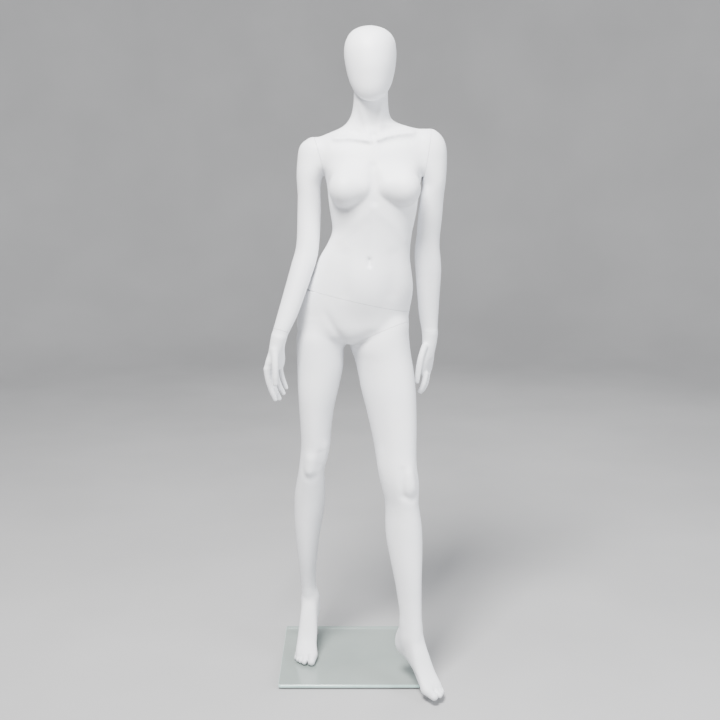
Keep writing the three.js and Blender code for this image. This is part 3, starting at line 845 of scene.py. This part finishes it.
def stitch(bm):
    """Joins the two open rims of a mesh that lie one above the other with a band of triangles."""
    rims = [[], []]
    edges = rim_edges(bm)
    heights = [edge.verts[0].co.z for edge in edges]
    middle = (max(heights) + min(heights)) / 2
    for vert in {v for e in edges for v in e.verts}:
        rims[vert.co.z > middle].append(vert)
    centre = sum((v.co for v in rims[0]), Vector()) / len(rims[0])
    around = lambda v: math.atan2(v.co.y - centre.y, v.co.x - centre.x)
    low, high = (sorted(rim, key=around) for rim in rims)
    i = j = 0
    while i < len(low) or j < len(high):
        next_low = around(low[i % len(low)]) + 2 * math.pi * (i // len(low))
        next_high = around(high[j % len(high)]) + 2 * math.pi * (j // len(high))
        a, b = low[i % len(low)], high[j % len(high)]
        step_low = low[(i + 1) % len(low)]
        step_high = high[(j + 1) % len(high)]
        ahead_low = around(step_low) + 2 * math.pi * ((i + 1) // len(low))
        ahead_high = around(step_high) + 2 * math.pi * ((j + 1) // len(high))
        if j >= len(high) or (i < len(low) and ahead_low <= ahead_high):
            bm.faces.new((a, step_low, b))
            i += 1
        else:
            bm.faces.new((a, step_high, b))
            j += 1


def close_up(bm):
    """Faces outward, smooth, in row-frame metres."""
    bmesh.ops.recalc_face_normals(bm, faces=bm.faces)
    if bm.calc_volume(signed=True) < 0:
        bmesh.ops.reverse_faces(bm, faces=bm.faces)
    for face in bm.faces:
        face.smooth = True
    for vert in bm.verts:
        vert.co = row(vert.co)


def piece(name, bm, material, body, replaced):
    close_up(bm)
    mesh = bpy.data.meshes.new(name)
    bm.to_mesh(mesh)
    bm.free()
    mesh.materials.append(material)
    thing = bpy.data.objects.new(name, mesh)
    bpy.context.scene.collection.objects.link(thing)
    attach(thing, body)
    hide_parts(*replaced)
    return thing


# ---------------------------------------------------------------------------
# Materials. Colour, gloss and relief vary by noise in each object's own coordinates.


def node_material(name, colours, scale, rough, relief, stretch=(1, 1, 1), fine=None, **sockets):
    """colours and rough are the two ends the noise moves between; relief is (size, strength)."""
    material = bpy.data.materials.new(name)
    material.use_nodes = True
    nodes, links = material.node_tree.nodes, material.node_tree.links
    shader = nodes["Principled BSDF"]
    place = nodes.new("ShaderNodeTexCoord")
    spread = nodes.new("ShaderNodeMapping")
    spread.inputs["Scale"].default_value = stretch
    links.new(place.outputs["Object"], spread.inputs["Vector"])

    def noise(size, detail):
        node = nodes.new("ShaderNodeTexNoise")
        node.inputs["Scale"].default_value = size
        node.inputs["Detail"].default_value = detail
        links.new(spread.outputs["Vector"], node.inputs["Vector"])
        return node

    broad = noise(scale, 3.0)
    mix = nodes.new("ShaderNodeValToRGB")
    mix.color_ramp.elements[0].position = 0.35
    mix.color_ramp.elements[1].position = 0.65
    mix.color_ramp.elements[0].color = (*colours[0], 1)
    mix.color_ramp.elements[1].color = (*colours[1], 1)
    links.new(broad.outputs["Fac"], mix.inputs["Fac"])
    links.new(mix.outputs["Color"], shader.inputs["Base Color"])

    gloss = nodes.new("ShaderNodeMapRange")
    gloss.inputs["From Min"].default_value = 0.3
    gloss.inputs["From Max"].default_value = 0.7
    gloss.inputs["To Min"].default_value, gloss.inputs["To Max"].default_value = rough
    links.new(noise(scale * 2.7, 4.0).outputs["Fac"], gloss.inputs["Value"])
    links.new(gloss.outputs["Result"], shader.inputs["Roughness"])

    size, strength = relief
    bump = nodes.new("ShaderNodeBump")
    bump.inputs["Strength"].default_value = strength
    bump.inputs["Distance"].default_value = 0.0004
    links.new(noise(size, 3.0).outputs["Fac"], bump.inputs["Height"])
    links.new(bump.outputs["Normal"], shader.inputs["Normal"])
    for socket, value in sockets.items():
        shader.inputs[socket.replace("_", " ")].default_value = value
    return material


WHITE = node_material(
    "white_shell", [(0.80, 0.81, 0.84), (0.845, 0.855, 0.88)], 9, (0.50, 0.60), (420, 0.10),
    Specular_IOR_Level=0.42,
)
GLASS = node_material(
    "base_glass", [(0.33, 0.385, 0.365), (0.37, 0.42, 0.40)], 5, (0.015, 0.04), (60, 0.01),
    Alpha=0.62, IOR=1.52, Specular_IOR_Level=0.65,
)
# Side faces of the plate: the glass's own aqua tint seen edge-on, lightened to paint the bright
# line along the edge as a painted highlight.
GLASS_EDGE_TINT_AND_HIGHLIGHT = node_material(
    "glass_edge_tint_and_highlight", [(0.50, 0.74, 0.69), (0.62, 0.84, 0.80)], 40, (0.08, 0.16), (300, 0.05),
    Alpha=0.85, IOR=1.52,
)
RUBBER = node_material(
    "grey_rubber", [(0.30, 0.31, 0.31), (0.36, 0.37, 0.37)], 90, (0.5, 0.65), (900, 0.35),
)
POLISHED = node_material(
    "polished_steel", [(0.70, 0.70, 0.71), (0.78, 0.78, 0.79)], 30, (0.08, 0.18), (1400, 0.05),
    stretch=(1, 1, 0.15), Metallic=1.0,
)
PLAIN = node_material(
    "plain_steel", [(0.42, 0.42, 0.43), (0.56, 0.56, 0.57)], 45, (0.28, 0.42), (1600, 0.25),
    stretch=(1, 1, 0.3), Metallic=1.0,
)
SLOT_MATERIALS = {
    "white_shell": WHITE, "base_glass": GLASS, "grey_rubber": RUBBER,
    "polished_steel": POLISHED, "plain_steel": PLAIN,
}

# ---------------------------------------------------------------------------
# The shells.


def torso():
    bm = open_mesh(*surface(torso_mass, (-150, -150, 1028), (222, 124, 1644), CELL))
    face_off(bm, "waist", MOVING)
    over_pit = ARMPIT - PIT_ROOM
    face_off(bm, "right_shoulder", FIXED, lambda at: at.z > over_pit and at.x < 0)
    face_off(bm, "left_shoulder", FIXED, lambda at: at.z > over_pit and at.x > 80)
    piece("torso_skin", bm, WHITE, "torso", ["torso_shell"])


CELL, ARM_CELL, HAND_CELL, FOOT_CELL, HEAD_CELL = 5.0, 4.0, 1.6, 1.9, 3.4  # mesh sizes
PIT_ROOM = 18.0  # a shoulder's cut reaches this far below the armpit
HAND_REACH = 1030.0  # above this height a hand no longer changes its arm


def arm(side, field, marks, low, high):
    """An arm shell, with its wrist already the shape of the hand that fits on it."""
    upper, lower = arm_mass(field, marks), hand(HANDS[side], field)

    def whole(p):
        value = upper(p)
        near = p[:, 2] < HAND_REACH
        value[near] = lower(p[near])
        return value

    bm = open_mesh(*surface(whole, low, high, ARM_CELL))
    over_pit = ARMPIT - PIT_ROOM
    face_off(bm, f"{side}_shoulder", MOVING, lambda at: at.z > over_pit)
    face_off(bm, f"{side}_wrist", FIXED)
    piece(f"{side}_arm_skin", bm, WHITE, f"{side}_arm", [f"{side}_arm_shell"])


def hand_piece(side, arm_field, low, high):
    bm = open_mesh(*surface(hand(HANDS[side], arm_field), low, high, HAND_CELL))
    face_off(bm, f"{side}_wrist", MOVING)
    piece(f"{side}_hand_skin", bm, WHITE, f"{side}_hand", [f"{side}_hand_shell"])


THIGH_LOW, THIGH_HIGH = 820.0, 1010.0  # the left thigh's seam lies between these heights
ANKLE = 201.0  # the fine mesh of the foot meets the coarse mesh of the leg here


def with_foot(upper, foot_field, low, high):
    """The leg's mesh down to the ankle and the foot's finer mesh below it, as one."""
    cleave(upper, (0, 0, ANKLE + 2), (0, 0, -1), lambda at: at.z < ANKLE + 60)
    lower = open_mesh(*surface(foot_field, low, high, FOOT_CELL))
    cleave(lower, (0, 0, ANKLE - 2), (0, 0, 1))
    spare = bpy.data.meshes.new("spare")
    lower.to_mesh(spare)
    lower.free()
    upper.from_mesh(spare)
    bpy.data.meshes.remove(spare)
    return upper


def lower_body():
    leg = open_mesh(*surface(hips_mass, (-200, -110, 192), (154, 144, 1082), CELL))
    bm = with_foot(leg, ankle(right_leg_mass, right_foot), (-196, -106, 4), (-100, 134, 206))
    stitch(bm)
    face_off(bm, "waist", FIXED)
    wall = CROTCH_X - GAP
    split(bm, (wall, 0, 0), (1, 0, 0), lambda at: THIGH_LOW < at.z < THIGH_HIGH)
    face_off(bm, "left_thigh", FIXED, lambda at: at.x > wall and at.z > THIGH_LOW, wall)
    return piece("lower_body_skin", bm, WHITE, "lower_body", ["lower_body_shell"])


def left_leg_piece():
    leg = open_mesh(*surface(left_thigh_mass, (-45, -215, 192), (180, 130, 1012), CELL))
    bm = with_foot(leg, ankle(left_leg_mass, left_foot), (78, -330, 4), (240, -90, 206))
    stitch(bm)
    wall = CROTCH_X + GAP
    cleave(bm, (wall, 0, 0), (-1, 0, 0), lambda at: at.z > THIGH_LOW)
    face_off(bm, "left_thigh", MOVING, None, wall)
    piece("left_leg_skin", bm, WHITE, "left_leg", ["left_leg_shell"])


LEAN = math.radians(10.5)
ROD_X, ROD_Y = -153.0, 138.0


def rod_point(height):
    """A point of the rod's axis."""
    return Vector((ROD_X, ROD_Y - math.tan(LEAN) * (height - GLASS_TOP), height))


def lathe(levels, turn, at, sides=48):
    """A closed turned form: (radius, distance) levels along the Z of turn, from at."""
    bm = bmesh.new()
    rings = []
    for radius, distance in levels:
        if radius:
            angles = [2 * math.pi * i / sides for i in range(sides)]
            spots = [Vector((radius * math.cos(a), radius * math.sin(a), distance)) for a in angles]
        else:
            spots = [Vector((0, 0, distance))]
        rings.append([bm.verts.new(Vector(at) + turn @ spot) for spot in spots])
    for low, high in zip(rings[:-1], rings[1:]):
        for i in range(sides):
            j = (i + 1) % sides
            ends = [low[i % len(low)], low[j % len(low)]]
            ends += [high[j % len(high)], high[i % len(high)]]
            bm.faces.new(list(dict.fromkeys(ends)))
    return bm


def bored(thing, cutters):
    """Takes closed forms out of a piece, by exact boolean."""
    holder = bpy.data.objects.new("cutter", bpy.data.meshes.new("cutter"))
    bpy.context.scene.collection.objects.link(holder)
    for cutter in cutters:
        close_up(cutter)
        cutter.to_mesh(holder.data)
        cutter.free()
        modifier = thing.modifiers.new("bore", "BOOLEAN")
        modifier.object = holder
        modifier.operation = "DIFFERENCE"
        modifier.solver = "EXACT"
        bpy.context.view_layer.update()
        graph = bpy.context.evaluated_depsgraph_get()
        done = bpy.data.meshes.new_from_object(thing.evaluated_get(graph))
        thing.modifiers.clear()
        old, thing.data = thing.data, done
        done.name = old.name
    bpy.data.objects.remove(holder)


def head():
    bm = open_mesh(*surface(head_egg, (-52, -102, 1590), (106, 108, 1800), HEAD_CELL))
    thing = piece("head_skin", bm, WHITE, "torso", ["head_shell"])
    around_neck = lambda p: trunk_limb(p) - 0.35
    neck = open_mesh(*surface(around_neck, (-30, -50, 1560), (88, 90, 1650), HEAD_CELL))
    cleave(neck, (0, 0, 1575), (0, 0, -1))
    bmesh.ops.triangle_fill(neck, use_beauty=True, use_dissolve=False, edges=rim_edges(neck))
    bored(thing, [neck])


torso()
head()
arm("right", right_arm, RIGHT_ARM_MARKS, (-256, -132, 938), (-50, 84, 1520))
arm("left", left_arm, LEFT_ARM_MARKS, (120, -46, 936), (246, 98, 1534))
hand_piece("right", right_arm, (-262, -142, 776), (-180, -32, 1004))
hand_piece("left", left_arm, (146, 24, 766), (236, 112, 984))
hips = lower_body()
rod_turn = Vector((0, -math.sin(LEAN), math.cos(LEAN))).to_track_quat("Z", "Y").to_matrix()
screw_turn = Vector((0, math.cos(LEAN), math.sin(LEAN))).to_track_quat("Z", "Y").to_matrix()
along_rod = lambda height: (height - rod_point(300).z) / math.cos(LEAN)
bored(hips, [
    lathe(
        [(0, along_rod(120)), (7.2, along_rod(120)), (7.2, along_rod(373)), (8.5, along_rod(373)),
         (8.5, along_rod(457)), (0, along_rod(457))], rod_turn, rod_point(300),
    ),
    lathe([(0, 0), (3, 0), (3, 60), (0, 60)], screw_turn, rod_point(388)),
])
left_leg_piece()

# ---------------------------------------------------------------------------
# The base: the glass is a new piece with ground edges; the hardware keeps its CAD nodes.


def glass_plate():
    low, high = GLASS_LOW / MM, GLASS_HIGH / MM
    half, corner, chamfer = (high.x - low.x) / 2, 5.0, 0.8
    middle = Vector(((high.x + low.x) / 2, (high.y + low.y) / 2, 0))
    hole = Vector((ROD_X + ORIGIN[0], ROD_Y + ORIGIN[1], 0))
    bm = bmesh.new()
    heights = [(low.z, chamfer), (low.z + chamfer, 0), (high.z - chamfer, 0), (high.z, chamfer)]
    outer, inner = [], []
    for height, back in heights:
        ring = []
        for i in range(4):
            for k in range(9):
                angle = math.pi / 2 * (i + k / 8)
                diagonal = math.pi / 4 + i * math.pi / 2
                spot = Vector((math.cos(diagonal), math.sin(diagonal), 0))
                spot = spot * math.sqrt(2) * (half - corner)
                spot += Vector((math.cos(angle), math.sin(angle), 0)) * (corner - back)
                ring.append(bm.verts.new(middle + spot + Vector((0, 0, height))))
        outer.append(ring)
        sides = [2 * math.pi * i / 40 for i in range(40)]
        radius = 5 + back * 0.5
        inner.append([
            bm.verts.new(hole + Vector((radius * math.cos(a), radius * math.sin(a), height)))
            for a in sides
        ])
    for rings in (outer, inner):
        for near, far_ring in zip(rings[:-1], rings[1:]):
            for i in range(len(near)):
                j = (i + 1) % len(near)
                bm.faces.new((near[i], near[j], far_ring[j], far_ring[i]))
    for level in (0, -1):
        edges = []
        for ring in (outer[level], inner[level]):
            edges += [bm.edges.get((ring[i], ring[(i + 1) % len(ring)])) for i in range(len(ring))]
        bmesh.ops.triangle_fill(bm, use_beauty=True, use_dissolve=False, edges=edges)
    bmesh.ops.recalc_face_normals(bm, faces=bm.faces)
    for vert in bm.verts:
        vert.co = vert.co * MM
    mesh = bpy.data.meshes.new("glass_base")
    bm.to_mesh(mesh)
    bm.free()
    mesh.materials.append(GLASS)
    mesh.materials.append(GLASS_EDGE_TINT_AND_HIGHLIGHT)
    # The top and bottom take the plate's glass; the side faces take the edge colour with its
    # painted highlight.
    for polygon in mesh.polygons:
        polygon.material_index = int(abs(polygon.normal.z) < 0.99)
    thing = bpy.data.objects.new("glass_base", mesh)
    bpy.context.scene.collection.objects.link(thing)
    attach(thing, "base")
    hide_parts("glass_plate")


glass_plate()
for part in frame["record"]["subparts"]:
    cad = frame["nodes"][part["node"]]
    for place in cad.material_slots:
        place.material = SLOT_MATERIALS[part["material_slot"]]

# ---------------------------------------------------------------------------
# The stage, the light, and the camera at eye height in front of the figure.


def floor():
    """A round studio floor that curves up into a low wall all round."""
    profile = [(0.0, 0.0), (2.0, 0.0), (4.6, 0.0)]
    bend = np.linspace(0, math.pi / 2, 14)[1:]
    profile += [(4.6 + 1.6 * math.sin(a), 1.6 - 1.6 * math.cos(a)) for a in bend]
    profile += [(6.2, 5.5)]
    bm = bmesh.new()
    rings = []
    for radius, z in profile:
        angles = [2 * math.pi * i / 72 for i in range(72 if radius else 1)]
        rings.append([
            bm.verts.new((radius * math.cos(a), radius * math.sin(a), z)) for a in angles
        ])
    for near, away in zip(rings[:-1], rings[1:]):
        for i in range(72):
            j = (i + 1) % 72
            corners = [near[i % len(near)], away[i], away[j], near[j % len(near)]]
            bm.faces.new(list(dict.fromkeys(corners))).smooth = True
    mesh = bpy.data.meshes.new("floor")
    bm.to_mesh(mesh)
    bm.free()
    mesh.materials.append(FLOOR)
    thing = bpy.data.objects.new("floor", mesh)
    bpy.context.scene.collection.objects.link(thing)
    thing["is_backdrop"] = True


def lamp(name, at, aim, size, power, tone=(1, 1, 1)):
    light = bpy.data.lights.new(name, "AREA")
    light.shape = "RECTANGLE"
    light.size, light.size_y = size
    light.energy = power
    light.color = tone
    thing = bpy.data.objects.new(name, light)
    thing.location = at
    thing.rotation_euler = (Vector(aim) - Vector(at)).to_track_quat("-Z", "Y").to_euler()
    bpy.context.scene.collection.objects.link(thing)


FLOOR = node_material(
    "floor", [(0.36, 0.36, 0.365), (0.39, 0.39, 0.395)], 1.5, (0.7, 0.8), (30, 0.02),
)
floor()
lamp("key", (-0.7, -2.0, 4.2), (0, 0, 1.1), (1.3, 1.5), 620, (1.0, 0.985, 0.965))
lamp("fill", (3.2, -2.0, 1.9), (0, 0, 0.9), (1.6, 2.2), 150, (0.94, 0.97, 1.0))
lamp("back", (1.2, 3.4, 3.0), (0, 0, 1.0), (1.8, 1.8), 60)

world = bpy.data.worlds.new("studio")
world.use_nodes = True
world.node_tree.nodes["Background"].inputs["Color"].default_value = (0.82, 0.86, 0.92, 1)
world.node_tree.nodes["Background"].inputs["Strength"].default_value = 0.55
bpy.context.scene.world = world

CAMERA_AT = (0, -3287, 1528)
CAMERA_DOWN = math.radians(10.97)
lens = bpy.data.cameras.new("camera")
lens.lens = 60
lens.sensor_width = 36
camera = bpy.data.objects.new("camera", lens)
camera.location = row(CAMERA_AT)
camera.rotation_euler = (math.pi / 2 - CAMERA_DOWN, 0, 0)
bpy.context.scene.collection.objects.link(camera)
bpy.context.scene.camera = camera

boxes = {"cad": CAD_BOX, "visual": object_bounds()}
plain = {name: [[float(v) for v in corner] for corner in box] for name, box in boxes.items()}
